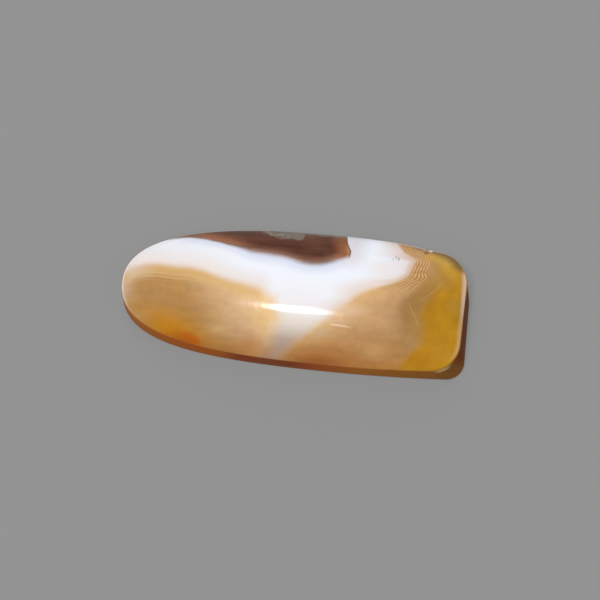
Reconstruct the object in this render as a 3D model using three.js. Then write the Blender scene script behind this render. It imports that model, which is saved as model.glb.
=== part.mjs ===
import * as THREE from 'three';

// A banded agate cut as a long, tongue-shaped cabochon: one stone with a flat back, a low wall that
// flares towards the back, and a polished dome. It is as wide at its squared end as along its
// sides, and the other end is a rounded nose.
// Millimetres, +Z up. The back lies on z = 0, the nose points to -X and the squared end to +X;
// -Y is the near side and +Y the far side.

// Heights above the flat back.
const BACK_BEVEL = 0.2;
const WALL_HEIGHT = 1.45;
const DOME_RISE = 3.6;
const GIRDLE_HEIGHT = BACK_BEVEL + WALL_HEIGHT;

// The dome's section: 0.5 would be an ellipse and 1 a parabola.
const DOME_FULLNESS = 0.8;
// How much of the wall and of the dome the eased edge at the girdle takes away.
const EASED_WALL = 0.1;
const EASED_DOME = 0.015;
// The dome's plan changes from the girdle's outline to this oval as it rises to the crest.
const CREST_X = 1;
const OVAL = { halfLength: 19.8, halfWidth: 7.55 };
const OVAL_EASE = 3;
// The rings shrink a little later along the length, so the crest is long and the ends are steeper.
const LENGTH_HOLD = 0.85;

// The two outlines in plan. A widest point gives its place and the reach of the curve from it
// towards the nose and towards the end. A corner gives the point where side and end would meet,
// its rounding, the slope of the side there, and the reach of the curve back along the side.
const GIRDLE = {
  nose: { x: -19.8, nearReach: 6.2, farReach: 5.6 },
  nearWidest: { x: 3, y: -7.6, noseReach: 13.9, endReach: 6 },
  nearCorner: { x: 19.9, y: -6.75, radius: 3.2, slope: 0.09, sideReach: 3.9 },
  farCorner: { x: 19.25, y: 6.3, radius: 3.5, slope: 0.13, sideReach: 4.3 },
  farWidest: { x: 4, y: 7.5, noseReach: 14, endReach: 6.3 },
};
const BASE = {
  nose: { x: -20.1, nearReach: 6.4, farReach: 5.8 },
  nearWidest: { x: 3, y: -7.9, noseReach: 14.2, endReach: 6 },
  nearCorner: { x: 20.35, y: -7.2, radius: 1.5, slope: 0.075, sideReach: 5 },
  farCorner: { x: 19.1, y: 6.5, radius: 5, slope: 0.13, sideReach: 3 },
  farWidest: { x: 4, y: 7.8, noseReach: 14.3, endReach: 5.5 },
};

// Points on each of an outline's seven curves, and rings on the dome.
const CURVE_POINTS = 16;
const DOME_RINGS = 18;

// A cubic curve with handles this long, as a part of the radius, follows a quarter circle.
const QUARTER_ARC = 0.5523;

const straight = (from, to) => to.clone().sub(from).normalize();

// The seven knots of an outline, anticlockwise from the nose: where each one is, which way the
// outline runs there, and how long its handles are before and after it.
function knots({ nose, nearWidest, nearCorner, farCorner, farWidest }) {
  const nearPoint = new THREE.Vector2(nearCorner.x, nearCorner.y);
  const farPoint = new THREE.Vector2(farCorner.x, farCorner.y);
  const endWay = straight(nearPoint, farPoint);
  const nearWay = new THREE.Vector2(Math.cos(nearCorner.slope), Math.sin(nearCorner.slope));
  const farWay = new THREE.Vector2(-Math.cos(farCorner.slope), Math.sin(farCorner.slope));
  const nearArc = QUARTER_ARC * nearCorner.radius;
  const farArc = QUARTER_ARC * farCorner.radius;
  const nearEnd = nearPoint.clone().addScaledVector(endWay, nearCorner.radius);
  const farEnd = farPoint.clone().addScaledVector(endWay, -farCorner.radius);
  const endReach = nearEnd.distanceTo(farEnd) / 3;
  return [
    {
      at: new THREE.Vector2(nose.x, 0),
      way: new THREE.Vector2(0, -1),
      before: nose.farReach,
      after: nose.nearReach,
    },
    {
      at: new THREE.Vector2(nearWidest.x, nearWidest.y),
      way: new THREE.Vector2(1, 0),
      before: nearWidest.noseReach,
      after: nearWidest.endReach,
    },
    {
      at: nearPoint.clone().addScaledVector(nearWay, -nearCorner.radius),
      way: nearWay,
      before: nearCorner.sideReach,
      after: nearArc,
    },
    { at: nearEnd, way: endWay, before: nearArc, after: endReach },
    { at: farEnd, way: endWay, before: endReach, after: farArc },
    {
      at: farPoint.clone().addScaledVector(farWay, farCorner.radius),
      way: farWay,
      before: farArc,
      after: farCorner.sideReach,
    },
    {
      at: new THREE.Vector2(farWidest.x, farWidest.y),
      way: new THREE.Vector2(-1, 0),
      before: farWidest.endReach,
      after: farWidest.noseReach,
    },
  ];
}

// The oval's knots lie in the same directions from the crest as the outline's.
function ovalKnots(outline) {
  const crest = new THREE.Vector2(CREST_X, 0);
  const size = new THREE.Vector2(OVAL.halfLength, OVAL.halfWidth);
  const turn = 2 * Math.PI;
  const angles = outline.map(({ at }) => at.clone().sub(crest).divide(size).angle());
  const gap = (from, to) => (angles[to] - angles[from] + turn) % turn;
  const last = angles.length - 1;
  return angles.map((angle, i) => {
    const speed = new THREE.Vector2(-Math.sin(angle), Math.cos(angle)).multiply(size);
    const before = gap(i === 0 ? last : i - 1, i);
    const after = gap(i, i === last ? 0 : i + 1);
    return {
      at: new THREE.Vector2(Math.cos(angle), Math.sin(angle)).multiply(size).add(crest),
      way: speed.clone().normalize(),
      before: (4 / 3) * Math.tan(before / 4) * speed.length(),
      after: (4 / 3) * Math.tan(after / 4) * speed.length(),
    };
  });
}

// The points of a closed outline through its knots.
function points(outline) {
  const path = new THREE.Path();
  path.moveTo(outline[0].at.x, outline[0].at.y);
  outline.forEach((knot, i) => {
    const next = outline[(i + 1) % outline.length];
    const leave = knot.at.clone().addScaledVector(knot.way, knot.after);
    const arrive = next.at.clone().addScaledVector(next.way, -next.before);
    path.bezierCurveTo(leave.x, leave.y, arrive.x, arrive.y, next.at.x, next.at.y);
  });
  return path.getPoints(CURVE_POINTS).slice(0, -1);
}

// A ring of the surface, as points in space.
const ring = (plan, height) => plan.map(({ x, y }) => new THREE.Vector3(x, y, height));

const between = (from, to, part) => from.map((point, i) => point.clone().lerp(to[i], part));

// The back with its bevel, and the wall up to where the girdle is eased.
function wallRings(base, girdle) {
  const keepX = 1 - BACK_BEVEL / BASE.nearCorner.x;
  const keepY = 1 - BACK_BEVEL / BASE.farWidest.y;
  const back = base.map(({ x, y }) => new THREE.Vector2(x * keepX, y * keepY));
  const top = between(base, girdle, 1 - EASED_WALL);
  return [
    ring(back, 0),
    ring(base, BACK_BEVEL),
    ring(top, GIRDLE_HEIGHT - EASED_WALL * WALL_HEIGHT),
  ];
}

// The dome's rings, from just inside the girdle to just short of the crest.
function domeRings(girdle, oval) {
  const crest = new THREE.Vector2(CREST_X, 0);
  const steepest = Math.asin(1 - EASED_DOME);
  return Array.from({ length: DOME_RINGS }, (_, i) => {
    const scale = Math.sin(steepest * (1 - i / DOME_RINGS));
    const shrink = new THREE.Vector2(scale ** LENGTH_HOLD, scale);
    const plan = between(girdle, oval, 1 - scale ** OVAL_EASE).map((point) =>
      point.sub(crest).multiply(shrink).add(crest),
    );
    return ring(plan, GIRDLE_HEIGHT + DOME_RISE * (1 - scale ** 2) ** DOME_FULLNESS);
  });
}

// One closed skin over the rings, with the flat back below and the crest above.
function skin(rings) {
  const around = rings[0].length;
  const flat = new THREE.Vector3(0, 0, 0);
  const crest = new THREE.Vector3(CREST_X, 0, GIRDLE_HEIGHT + DOME_RISE);
  const vertices = [...rings.flat(), flat, crest];
  const flatIndex = rings.length * around;
  const crestIndex = flatIndex + 1;
  const faces = [];
  for (let i = 0; i < around; i++) {
    const next = (i + 1) % around;
    faces.push(flatIndex, next, i);
    for (let level = 0; level < rings.length - 1; level++) {
      const low = level * around;
      const high = low + around;
      faces.push(low + i, low + next, high + next);
      faces.push(low + i, high + next, high + i);
    }
    const top = (rings.length - 1) * around;
    faces.push(top + i, top + next, crestIndex);
  }
  const geometry = new THREE.BufferGeometry().setFromPoints(vertices);
  geometry.setIndex(faces);
  return geometry;
}

function stone() {
  const girdleKnots = knots(GIRDLE);
  const girdle = points(girdleKnots);
  const oval = points(ovalKnots(girdleKnots));
  const geometry = skin([...wallRings(points(knots(BASE)), girdle), ...domeRings(girdle, oval)]);
  geometry.computeBoundingBox();
  const middle = geometry.boundingBox.getCenter(new THREE.Vector3());
  geometry.translate(-middle.x, -middle.y, 0);
  geometry.computeVertexNormals();
  return geometry;
}

// Polished agate: tan and amber chalcedony crossed by a white band.
const agate = new THREE.MeshStandardMaterial({ color: 0xd2b48a, roughness: 0.12, metalness: 0 });

const cabochon = new THREE.Mesh(stone(), agate);
cabochon.name = 'agate_cabochon';

const part = new THREE.Group();
part.add(cabochon);

export default part;
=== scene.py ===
# %% [markdown]
# A polished agate cabochon, looked down on from one side.
# The stone was cut as one piece, so this lesson makes one piece: its outline as a Bezier curve, its dome as
# rings of that curve bridged together, and its bands as a node pattern that runs right through the stone.
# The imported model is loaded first. It gives the real size and place, and everything here is fitted to it.

# %% Load the frame
import math

import bmesh
import bpy
from mathutils import Matrix, Quaternion, Vector


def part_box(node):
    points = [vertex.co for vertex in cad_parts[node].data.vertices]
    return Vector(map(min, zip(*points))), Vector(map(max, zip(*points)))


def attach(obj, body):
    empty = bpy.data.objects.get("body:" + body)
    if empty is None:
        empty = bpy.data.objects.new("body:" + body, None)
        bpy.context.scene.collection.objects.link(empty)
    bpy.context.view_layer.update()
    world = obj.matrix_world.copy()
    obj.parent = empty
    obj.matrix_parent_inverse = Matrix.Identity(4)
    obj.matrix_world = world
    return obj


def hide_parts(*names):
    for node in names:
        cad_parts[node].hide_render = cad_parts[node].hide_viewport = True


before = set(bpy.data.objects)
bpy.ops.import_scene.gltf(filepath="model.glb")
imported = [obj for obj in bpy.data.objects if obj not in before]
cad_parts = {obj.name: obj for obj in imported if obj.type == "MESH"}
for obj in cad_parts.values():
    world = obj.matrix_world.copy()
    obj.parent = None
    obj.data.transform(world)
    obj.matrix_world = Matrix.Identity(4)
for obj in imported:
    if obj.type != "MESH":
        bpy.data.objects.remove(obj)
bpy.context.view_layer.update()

STONE_NODE = "agate_cabochon"
lowest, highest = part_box(STONE_NODE)

# %% [markdown]
# The stone is only 40 mm long, so its sizes are easier to read in millimetres. Blender works in metres, and
# one factor turns the first into the second. Operators act on everything that is selected, and the loaded
# model still is, so a helper clears the selection before each new primitive.

# %% Units and a clean selection
MM = 0.001


def clear_selection():
    if bpy.context.object and bpy.context.object.mode != "OBJECT":
        bpy.ops.object.mode_set(mode="OBJECT")
    bpy.ops.object.select_all(action="DESELECT")


def choose(*pieces):
    """Selects these pieces and nothing else, and makes the first one active."""
    clear_selection()
    for piece in pieces:
        piece.select_set(True)
    bpy.context.view_layer.objects.active = pieces[0]


clear_selection()
print("the stone measures", [round(side / MM, 2) for side in highest - lowest], "mm")

# %% [markdown]
# The photograph looks down on the stone from its near side, and the camera is turned about its own axis, so
# that the stone lies almost level in the picture with its nose to the left. A long lens from a metre away
# keeps both ends of the stone at one scale, as pictures of small goods need.

# %% Place the camera
VIEW_AZIMUTH = math.radians(38)
VIEW_ELEVATION = math.radians(68)
VIEW_ROLL = math.radians(-30)
LENS = 600
SENSOR = 36
CLIP_START = 0.01
FRAME_PIXELS = 600
PIXELS_PER_MM = 9.0
STONE_MIDDLE_PIXEL = (293.6, 296.6)
GIRDLE_HEIGHT = 1.65

towards_camera = Vector((
    math.sin(VIEW_AZIMUTH) * math.cos(VIEW_ELEVATION),
    -math.cos(VIEW_AZIMUTH) * math.cos(VIEW_ELEVATION),
    math.sin(VIEW_ELEVATION),
))
camera_turn = towards_camera.to_track_quat("Z", "Y") @ Quaternion((0, 0, 1), VIEW_ROLL)
picture_right = camera_turn @ Vector((1, 0, 0))
picture_up = camera_turn @ Vector((0, 1, 0))
off_right = (FRAME_PIXELS / 2 - STONE_MIDDLE_PIXEL[0]) / PIXELS_PER_MM * MM
off_down = (FRAME_PIXELS / 2 - STONE_MIDDLE_PIXEL[1]) / PIXELS_PER_MM * MM
looked_at = Vector((0, 0, GIRDLE_HEIGHT * MM)) + picture_right * off_right - picture_up * off_down
camera_distance = FRAME_PIXELS / PIXELS_PER_MM * MM * LENS / SENSOR
camera_place = looked_at + towards_camera * camera_distance

bpy.ops.object.camera_add(location=camera_place, rotation=camera_turn.to_euler())
camera = bpy.context.object
camera.name = "camera"
camera.data.lens = LENS
camera.data.sensor_width = SENSOR
camera.data.clip_start = CLIP_START
bpy.context.scene.camera = camera
print("the camera stands", round(camera_distance, 3), "m away")

# %% [markdown]
# Seen from above, the stone is a tongue: a round nose, long sides that hardly bulge, and a squared end that
# leans a little and has rounded corners. Seven knots of a Bezier curve hold that shape: the nose, the two
# widest points, and two knots for each rounded corner. A mesh circle would need every point placed by hand.
# A knot's handles say which way the curve runs there and how far it holds that way.

# %% Describe an outline by its knots
QUARTER_ARC = 0.5523     # a handle this long, as a part of the radius, follows a quarter circle
STRAIGHT_PARTS = 3       # a straight side's handles each reach over one of this many parts


def knot(at, way, before, after):
    """A knot as three points: the handle before it, its place, and the handle after it."""
    return at - way * before, at, at + way * after


def outline(nose, near_widest, near_corner, far_corner, far_widest):
    """The seven knots, anticlockwise from the nose."""
    near_point = Vector(near_corner["at"])
    far_point = Vector(far_corner["at"])
    end_way = (far_point - near_point).normalized()
    near_way = Vector((math.cos(near_corner["slope"]), math.sin(near_corner["slope"])))
    far_way = Vector((-math.cos(far_corner["slope"]), math.sin(far_corner["slope"])))
    near_arc = QUARTER_ARC * near_corner["radius"]
    far_arc = QUARTER_ARC * far_corner["radius"]
    near_end = near_point + end_way * near_corner["radius"]
    far_end = far_point - end_way * far_corner["radius"]
    end_reach = (far_end - near_end).length / STRAIGHT_PARTS
    return [
        knot(Vector(nose["at"]), Vector((0, -1)), nose["far_reach"], nose["near_reach"]),
        knot(Vector(near_widest["at"]), Vector((1, 0)), near_widest["nose_reach"], near_widest["end_reach"]),
        knot(near_point - near_way * near_corner["radius"], near_way, near_corner["side_reach"], near_arc),
        knot(near_end, end_way, near_arc, end_reach),
        knot(far_end, end_way, end_reach, far_arc),
        knot(far_point + far_way * far_corner["radius"], far_way, far_arc, far_corner["side_reach"]),
        knot(Vector(far_widest["at"]), Vector((-1, 0)), far_widest["end_reach"], far_widest["nose_reach"]),
    ]


print("a quarter circle's handles are", QUARTER_ARC, "of its radius")

# %% [markdown]
# Two outlines are needed. The girdle is where wall and dome meet. The base is the outline of the back, and it
# is larger, because the wall flares towards it, and its corners were ground differently: the near one is
# tight and the far one is broad. Each corner gives the point where its two sides would meet, its radius, the
# slope of the long side there, and the reach of the curve back along that side.

# %% Draw the girdle and the base
girdle = outline(
    nose={"at": (-19.8, 0), "near_reach": 6.2, "far_reach": 5.6},
    near_widest={"at": (3, -7.6), "nose_reach": 13.9, "end_reach": 6},
    near_corner={"at": (19.9, -6.75), "radius": 3.2, "slope": 0.09, "side_reach": 3.9},
    far_corner={"at": (19.15, 6.4), "radius": 3.1, "slope": 0.13, "side_reach": 4.6},
    far_widest={"at": (4, 7.6), "nose_reach": 14, "end_reach": 6.3},
)
base = outline(
    nose={"at": (-19.9, 0), "near_reach": 6.2, "far_reach": 5.8},
    near_widest={"at": (3, -7.9), "nose_reach": 16.2, "end_reach": 6},
    near_corner={"at": (20.35, -7.22), "radius": 1.95, "slope": 0.075, "side_reach": 5},
    far_corner={"at": (19.15, 6.5), "radius": 5.2, "slope": 0.13, "side_reach": 3},
    far_widest={"at": (4, 7.8), "nose_reach": 14.3, "end_reach": 5.5},
)
print("each outline has", len(girdle), "knots")

# %% [markdown]
# A dome that kept the girdle's corners all the way up would have ridges like a tent. On the real stone the
# polishing lap rounds them away, so towards the crest the rings turn into an oval. The oval gets a knot in
# the same direction as each of the girdle's, and a ring between them is simply a mix of the two curves.

# %% Describe the crest's oval and the rings between
CREST = Vector((1, 0))
OVAL_SIZE = Vector((19.8, 7.55))
OVAL_EASE = 3
LENGTH_HOLD = 0.85       # below 1, the rings shrink later along the length, which makes the ends steeper
HALF_SCALE = 0.5


def direction(at):
    """The angle, on the oval, of the direction in which a place lies from the crest."""
    return math.atan2((at.y - CREST.y) / OVAL_SIZE.y, (at.x - CREST.x) / OVAL_SIZE.x)


def arc_reach(angle):
    """How long the handles of an arc of this angle are, for a radius of 1. It is the textbook formula."""
    return 4 / 3 * math.tan(angle / 4)


def oval_like(knots):
    """An ellipse round the crest, cut by knots in the same directions as another outline's."""
    angles = [direction(at) for _, at, _ in knots]
    made = []
    for index, angle in enumerate(angles):
        before = (angle - angles[index - 1]) % math.tau
        after = (angles[(index + 1) % len(angles)] - angle) % math.tau
        at = CREST + Vector((math.cos(angle) * OVAL_SIZE.x, math.sin(angle) * OVAL_SIZE.y))
        speed = Vector((-math.sin(angle) * OVAL_SIZE.x, math.cos(angle) * OVAL_SIZE.y))
        made.append(knot(at, speed, arc_reach(before), arc_reach(after)))
    return made


def shrunk(knots, centre, along, across):
    """The knots drawn in towards a centre, by one factor along the stone and another across it."""
    def drawn_in(point):
        return centre + Vector(((point.x - centre.x) * along, (point.y - centre.y) * across))
    return [tuple(drawn_in(point) for point in three) for three in knots]


def mixed(knots, others, part):
    """A curve that lies this part of the way from one outline to another."""
    return [tuple(p.lerp(q, part) for p, q in zip(three, other)) for three, other in zip(knots, others)]


def dome_ring(scale):
    plan = mixed(girdle, oval_like(girdle), 1 - scale ** OVAL_EASE)
    return shrunk(plan, CREST, scale ** LENGTH_HOLD, scale)


_, nose_place, _ = dome_ring(HALF_SCALE)[0]
print("on the ring of half scale the nose lies at", [round(part, 2) for part in nose_place], "mm")

# %% [markdown]
# The rings are stacked like contour lines on a map: the flat back, the outline above its small bevel, the
# girdle, and then the dome. The dome rises with 1 - s squared, where s is the ring's scale, raised to a power
# a little under 1: a power of 0.5 would give an ellipse and 1 a parabola, and a hand-cut stone lies between.

# %% Lay the rings
BACK_BEVEL = 0.2
DOME_RISE = 3.6
DOME_FULLNESS = 0.8
FIRST_DOME_SCALE = 0.95
DOME_RINGS = 26
POINTS_PER_CURVE = 16
CORNER_KNOT = 2          # the near corner's first knot
WIDEST_KNOT = 6          # the far side's widest point


def lay_ring(knots, height):
    """One closed Bezier curve at this height, turned into a loop of mesh edges."""
    bpy.ops.curve.primitive_bezier_circle_add()
    spline = bpy.context.object.data.splines[0]
    spline.bezier_points.add(len(knots) - len(spline.bezier_points))
    spline.resolution_u = POINTS_PER_CURVE
    for point, (before, at, after) in zip(spline.bezier_points, knots):
        point.handle_left_type = point.handle_right_type = "FREE"
        point.co = Vector((at.x, at.y, height)) * MM
        point.handle_left = Vector((before.x, before.y, height)) * MM
        point.handle_right = Vector((after.x, after.y, height)) * MM
    bpy.ops.object.convert(target="MESH")
    return bpy.context.object


_, corner_place, _ = base[CORNER_KNOT]
_, widest_place, _ = base[WIDEST_KNOT]
back = shrunk(base, Vector((0, 0)), 1 - BACK_BEVEL / corner_place.x, 1 - BACK_BEVEL / widest_place.y)
rings = [lay_ring(back, 0), lay_ring(base, BACK_BEVEL), lay_ring(girdle, GIRDLE_HEIGHT)]
steepest = math.asin(FIRST_DOME_SCALE)
for index in range(DOME_RINGS):
    scale = math.sin(steepest * (1 - index / DOME_RINGS))
    rise = DOME_RISE * (1 - scale ** 2) ** DOME_FULLNESS
    rings.append(lay_ring(dome_ring(scale), GIRDLE_HEIGHT + rise))
ring_points = len(rings[0].data.vertices)
print(len(rings), "rings of", ring_points, "points")

# %% [markdown]
# Joined into one object, the loops are bridged from each ring to the next, and the two open ends are filled.
# Selecting only two neighbouring rings at a time leaves Blender nothing to guess.

# %% Bridge the rings and close the ends
choose(*rings)
bpy.ops.object.join()
stone = bpy.context.object
stone.name = "agate_stone"
stone.data.name = "agate_stone"
bpy.ops.object.transform_apply(location=True, rotation=True, scale=True)


def select_edges(test):
    """In edit mode, selects the edges that pass a test of their two ends."""
    bpy.ops.mesh.select_mode(type="EDGE")
    bpy.ops.mesh.select_all(action="DESELECT")
    mesh = bmesh.from_edit_mesh(stone.data)
    for edge in mesh.edges:
        edge.select = test(*edge.verts)
    mesh.select_flush_mode()
    bmesh.update_edit_mesh(stone.data)
    return sum(edge.select for edge in mesh.edges)


def select_loops(*numbers):
    """Selects whole rings, told apart by where their points stand in the mesh's list."""
    return select_edges(lambda a, b: a.index // ring_points == b.index // ring_points in numbers)


bpy.ops.object.mode_set(mode="EDIT")
for number in range(len(rings) - 1):
    select_loops(number, number + 1)
    bpy.ops.mesh.bridge_edge_loops()
for number in (0, len(rings) - 1):
    select_loops(number)
    bpy.ops.mesh.edge_face_add()
bpy.ops.mesh.select_all(action="SELECT")
bpy.ops.mesh.normals_make_consistent(inside=False)
bpy.ops.object.mode_set(mode="OBJECT")
print("the bridged stone has", len(stone.data.polygons), "faces")

# %% [markdown]
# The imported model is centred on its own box, so the stone is slid until its squared end and its far side
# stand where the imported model's do. Then the edges are eased. Where dome meets wall, a cutter always takes
# off the sharp arris, or it would chip in the setting, and the same holds for the small bevel round the back.
# Bevelling the loops of edges with a few segments gives both a real roundness that catches the light, which
# no shading trick does from every side.

# %% Place the stone and ease its edges
ARRIS_WIDTH = 0.26
ARRIS_SEGMENTS = 4
BACK_EDGE_WIDTH = 0.05
BACK_EDGE_SEGMENTS = 2
ROUND_PROFILE = 0.5
SAME_HEIGHT = 0.01


def box_of(piece):
    """The lowest and the highest corner."""
    places = [piece.matrix_world @ vertex.co for vertex in piece.data.vertices]
    return [[pick(place[axis] for place in places) for axis in range(3)] for pick in (min, max)]


def ease_loop(height, width, segments):
    """Rounds the loop of edges that lies at one height, given in millimetres."""
    def level(vertex):
        return abs(vertex.co.z / MM - height) < SAME_HEIGHT
    count = select_edges(lambda a, b: level(a) and level(b))
    bpy.ops.mesh.bevel(offset=width * MM, segments=segments, profile=ROUND_PROFILE, affect="EDGES")
    return count


_, stone_reach = box_of(stone)
slide = (highest[0] - stone_reach[0], highest[1] - stone_reach[1], 0)
bpy.ops.object.mode_set(mode="EDIT")
bpy.ops.mesh.select_all(action="SELECT")
bpy.ops.transform.translate(value=slide)
eased = [ease_loop(GIRDLE_HEIGHT, ARRIS_WIDTH, ARRIS_SEGMENTS)]
eased += [ease_loop(height, BACK_EDGE_WIDTH, BACK_EDGE_SEGMENTS) for height in (BACK_BEVEL, 0)]
bpy.ops.object.mode_set(mode="OBJECT")
print("slid by", [round(value / MM, 3) for value in slide], "mm; eased loops of", eased, "edges")

# %% [markdown]
# A polished surface shows every facet in its reflections, so the mesh is made finer by a Subdivision Surface
# modifier, which keeps the rings' form and rounds between them. It is applied, so that the finer mesh is the
# stone's own.

# %% Smooth the stone
FINE_LEVELS = 2


def apply_modifier(piece, kind, **settings):
    """Adds a modifier with these settings and makes its result the piece's own mesh."""
    choose(piece)
    modifier = piece.modifiers.new(kind.lower(), kind)
    for name, value in settings.items():
        setattr(modifier, name, value)
    bpy.ops.object.modifier_apply(modifier=modifier.name)


apply_modifier(stone, "SUBSURF", levels=FINE_LEVELS, render_levels=FINE_LEVELS)
print("the smooth stone has", len(stone.data.polygons), "faces")

# %% [markdown]
# The far edge has one small nick, where a flake of stone sprang off. Agate breaks in shells, so the nick is
# cut with two small, roughened balls set side by side into the edge. A Boolean leaves the crisp, broken rim
# that pushing points inwards would smear. The balls are deleted once they have cut.

# %% Nick the far edge
NICK_BALLS = (
    {"at": (14.05, 7.06, 1.95), "radius": 0.36, "seed": 3},
    {"at": (14.62, 7, 1.88), "radius": 0.27, "seed": 8},
)
NICK_FACETS = 2
NICK_ROUGHNESS = 0.05
SHARP_ANGLE = math.radians(35)


def cutting_ball(at, radius, seed):
    clear_selection()
    place = [part * MM for part in at]
    bpy.ops.mesh.primitive_ico_sphere_add(subdivisions=NICK_FACETS, radius=radius * MM, location=place)
    bpy.ops.object.mode_set(mode="EDIT")
    bpy.ops.transform.vertex_random(offset=NICK_ROUGHNESS * MM, uniform=1, seed=seed)
    bpy.ops.object.mode_set(mode="OBJECT")
    bpy.ops.object.transform_apply(location=True, rotation=True, scale=True)
    return bpy.context.object


for ball in NICK_BALLS:
    cutter = cutting_ball(**ball)
    apply_modifier(stone, "BOOLEAN", operation="DIFFERENCE", object=cutter, solver="EXACT")
    bpy.data.objects.remove(cutter)
choose(stone)
bpy.ops.object.shade_smooth_by_angle(angle=SHARP_ANGLE)
print("the nicked stone has", len(stone.data.polygons), "faces")

# %% [markdown]
# Agate is layers of quartz laid down one on another, so its bands are sheets that run right through the
# stone, and the polished dome only shows where they come out. That is why the pattern is built from Object
# coordinates, as a solid: it then meets itself on the dome, the wall and the back. A few helpers keep the
# node building readable: one adds a node, one calculates, one makes a soft step and one lays a colour over
# another.

# %% Start the agate material
MIX_UNDER, MIX_OVER, MIX_COLOUR = 6, 7, 2      # the Mix node's sockets for colours

agate = bpy.data.materials.new("banded_agate")
agate.use_nodes = True
tree = agate.node_tree
tree.nodes.clear()


def add_node(kind, inputs=None, **settings):
    """Adds a shader node. An input is given a plain value, or the output socket of another node."""
    made = tree.nodes.new("ShaderNode" + kind)
    for name, value in settings.items():
        setattr(made, name, value)
    for socket, value in (inputs or {}).items():
        if isinstance(value, bpy.types.NodeSocket):
            tree.links.new(value, made.inputs[socket])
        else:
            made.inputs[socket].default_value = value
    return made


def calc(operation, *values):
    return add_node("Math", dict(enumerate(values)), operation=operation).outputs[0]


def soft_step(value, start, end):
    """0 before the start and 1 after the end, with a smooth rise between, or a fall if they are swapped."""
    inputs = {"Value": value, "From Min": start, "From Max": end}
    return add_node("MapRange", inputs, interpolation_type="SMOOTHSTEP").outputs[0]


def paint(under, over, mask):
    """Lays one colour over another where the mask is 1."""
    node = add_node("Mix", {0: mask, MIX_UNDER: under, MIX_OVER: over}, data_type="RGBA")
    return node.outputs[MIX_COLOUR]


place = add_node("TexCoord").outputs["Object"]
in_mm = add_node("VectorMath", {0: place, "Scale": 1 / MM}, operation="SCALE").outputs[0]
solid_x, solid_y, solid_z = add_node("SeparateXYZ", {0: in_mm}).outputs
print("the material has", len(tree.nodes), "nodes so far")

# %% [markdown]
# Colours are named the way a picture editor gives them, from 0 to 255 for each channel. Blender mixes
# amounts of light instead, so a helper turns one into the other with the standard picture curve.

# %% Name colours as a picture editor does
FULL_CHANNEL = 255
CURVE_KNEE = 0.04045
FOOT_SLOPE = 12.92
CURVE_OFFSET = 0.055
CURVE_POWER = 2.4
OPAQUE = 1


def linear(channel):
    part = channel / FULL_CHANNEL
    if part <= CURVE_KNEE:
        return part / FOOT_SLOPE
    return ((part + CURVE_OFFSET) / (1 + CURVE_OFFSET)) ** CURVE_POWER


def shade(red, green, blue):
    return linear(red), linear(green), linear(blue), OPAQUE


print("a middle grey holds", round(linear(FULL_CHANNEL / 2), 3), "of white's light")

# %% [markdown]
# The sheets lean, so a place in the pattern is the place in the stone slid sideways by its depth below the
# girdle. A little noise is added too, so that no border between bands is as clean as a drawn line. The rest
# of the material is drawn in these two measures, along the stone and across it, in millimetres.

# %% Set out the pattern's coordinates
LEAN_ALONG = 0.2487
LEAN_ACROSS = -0.3184
WANDER_SIZE = 1.1        # wobbles per millimetre
WANDER_DETAIL = 3
WANDER = 0.14            # millimetres
NOISE_MIDDLE = 0.5


def noise(scale, detail, vector=in_mm):
    return add_node("TexNoise", {"Vector": vector, "Scale": scale, "Detail": detail})


def centred(value, amount):
    """Noise from 0 to 1 turned into a shift to both sides."""
    return calc("MULTIPLY", calc("SUBTRACT", value, NOISE_MIDDLE), amount)


depth = calc("SUBTRACT", GIRDLE_HEIGHT, solid_z)
wobble = noise(WANDER_SIZE, WANDER_DETAIL).outputs["Color"]
wander_x, wander_y, _ = add_node("SeparateXYZ", {0: wobble}).outputs
along = calc("ADD", calc("MULTIPLY_ADD", depth, LEAN_ALONG, solid_x), centred(wander_x, WANDER))
across = calc("ADD", calc("MULTIPLY_ADD", depth, LEAN_ACROSS, solid_y), centred(wander_y, WANDER))
print("from girdle to back the sheets lean by", round(GIRDLE_HEIGHT * LEAN_ALONG, 2), "mm along the stone")

# %% [markdown]
# The borders between bands bend and kink. Each one is drawn as a curve through a few points, the way it would
# be sketched on graph paper, in a Float Curve node: what goes in is the place along the stone and what comes
# out is how far across it the border lies, or the other way round for a border that runs across the stone.

# %% Draw borders as curves
HALF_SPAN = 21           # the curves cover this far to both sides of the middle
SPAN = 2 * HALF_SPAN
SLOPE_STEP = 0.4
NEW_POINT = 0.5


def in_span(position):
    """A place in millimetres as the part from 0 to 1 that curves and ramps read."""
    return calc("DIVIDE", calc("ADD", position, HALF_SPAN), SPAN)


def span_part(place):
    """The same for a place that is known already."""
    return (place + HALF_SPAN) / SPAN


def border(position, drawn):
    """How far over a border lies at this position along it, through the drawn points."""
    node = add_node("FloatCurve", {"Value": in_span(position)})
    node.mapping.extend = "HORIZONTAL"
    curve = node.mapping.curves[0]
    while len(curve.points) < len(drawn):
        curve.points.new(NEW_POINT, NEW_POINT)
    for point, (where, value) in zip(curve.points, sorted(drawn)):
        point.location = span_part(where), span_part(value)
    node.mapping.update()
    return calc("SUBTRACT", calc("MULTIPLY", node.outputs[0], SPAN), HALF_SPAN)


def past(measured, position, drawn):
    """How far a place lies past a drawn border, measured square to the border."""
    here = border(position, drawn)
    ahead = border(calc("ADD", position, SLOPE_STEP), drawn)
    slope = calc("DIVIDE", calc("SUBTRACT", ahead, here), SLOPE_STEP)
    length = calc("SQRT", calc("MULTIPLY_ADD", slope, slope, 1))
    return calc("DIVIDE", calc("SUBTRACT", measured, here), length)


print("a border curve reaches", HALF_SPAN, "mm to both sides")

# %% [markdown]
# The white band crosses the stone like a slanting Y. Its lower border runs from the nose to the middle, and
# its right border comes down from the far side in kinks to the near side, where the band ends in a thin tail.
# The brown band lies on it at the far side. Other colours are later laid by their distance from these
# borders, so the distances are measured once, here.

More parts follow.
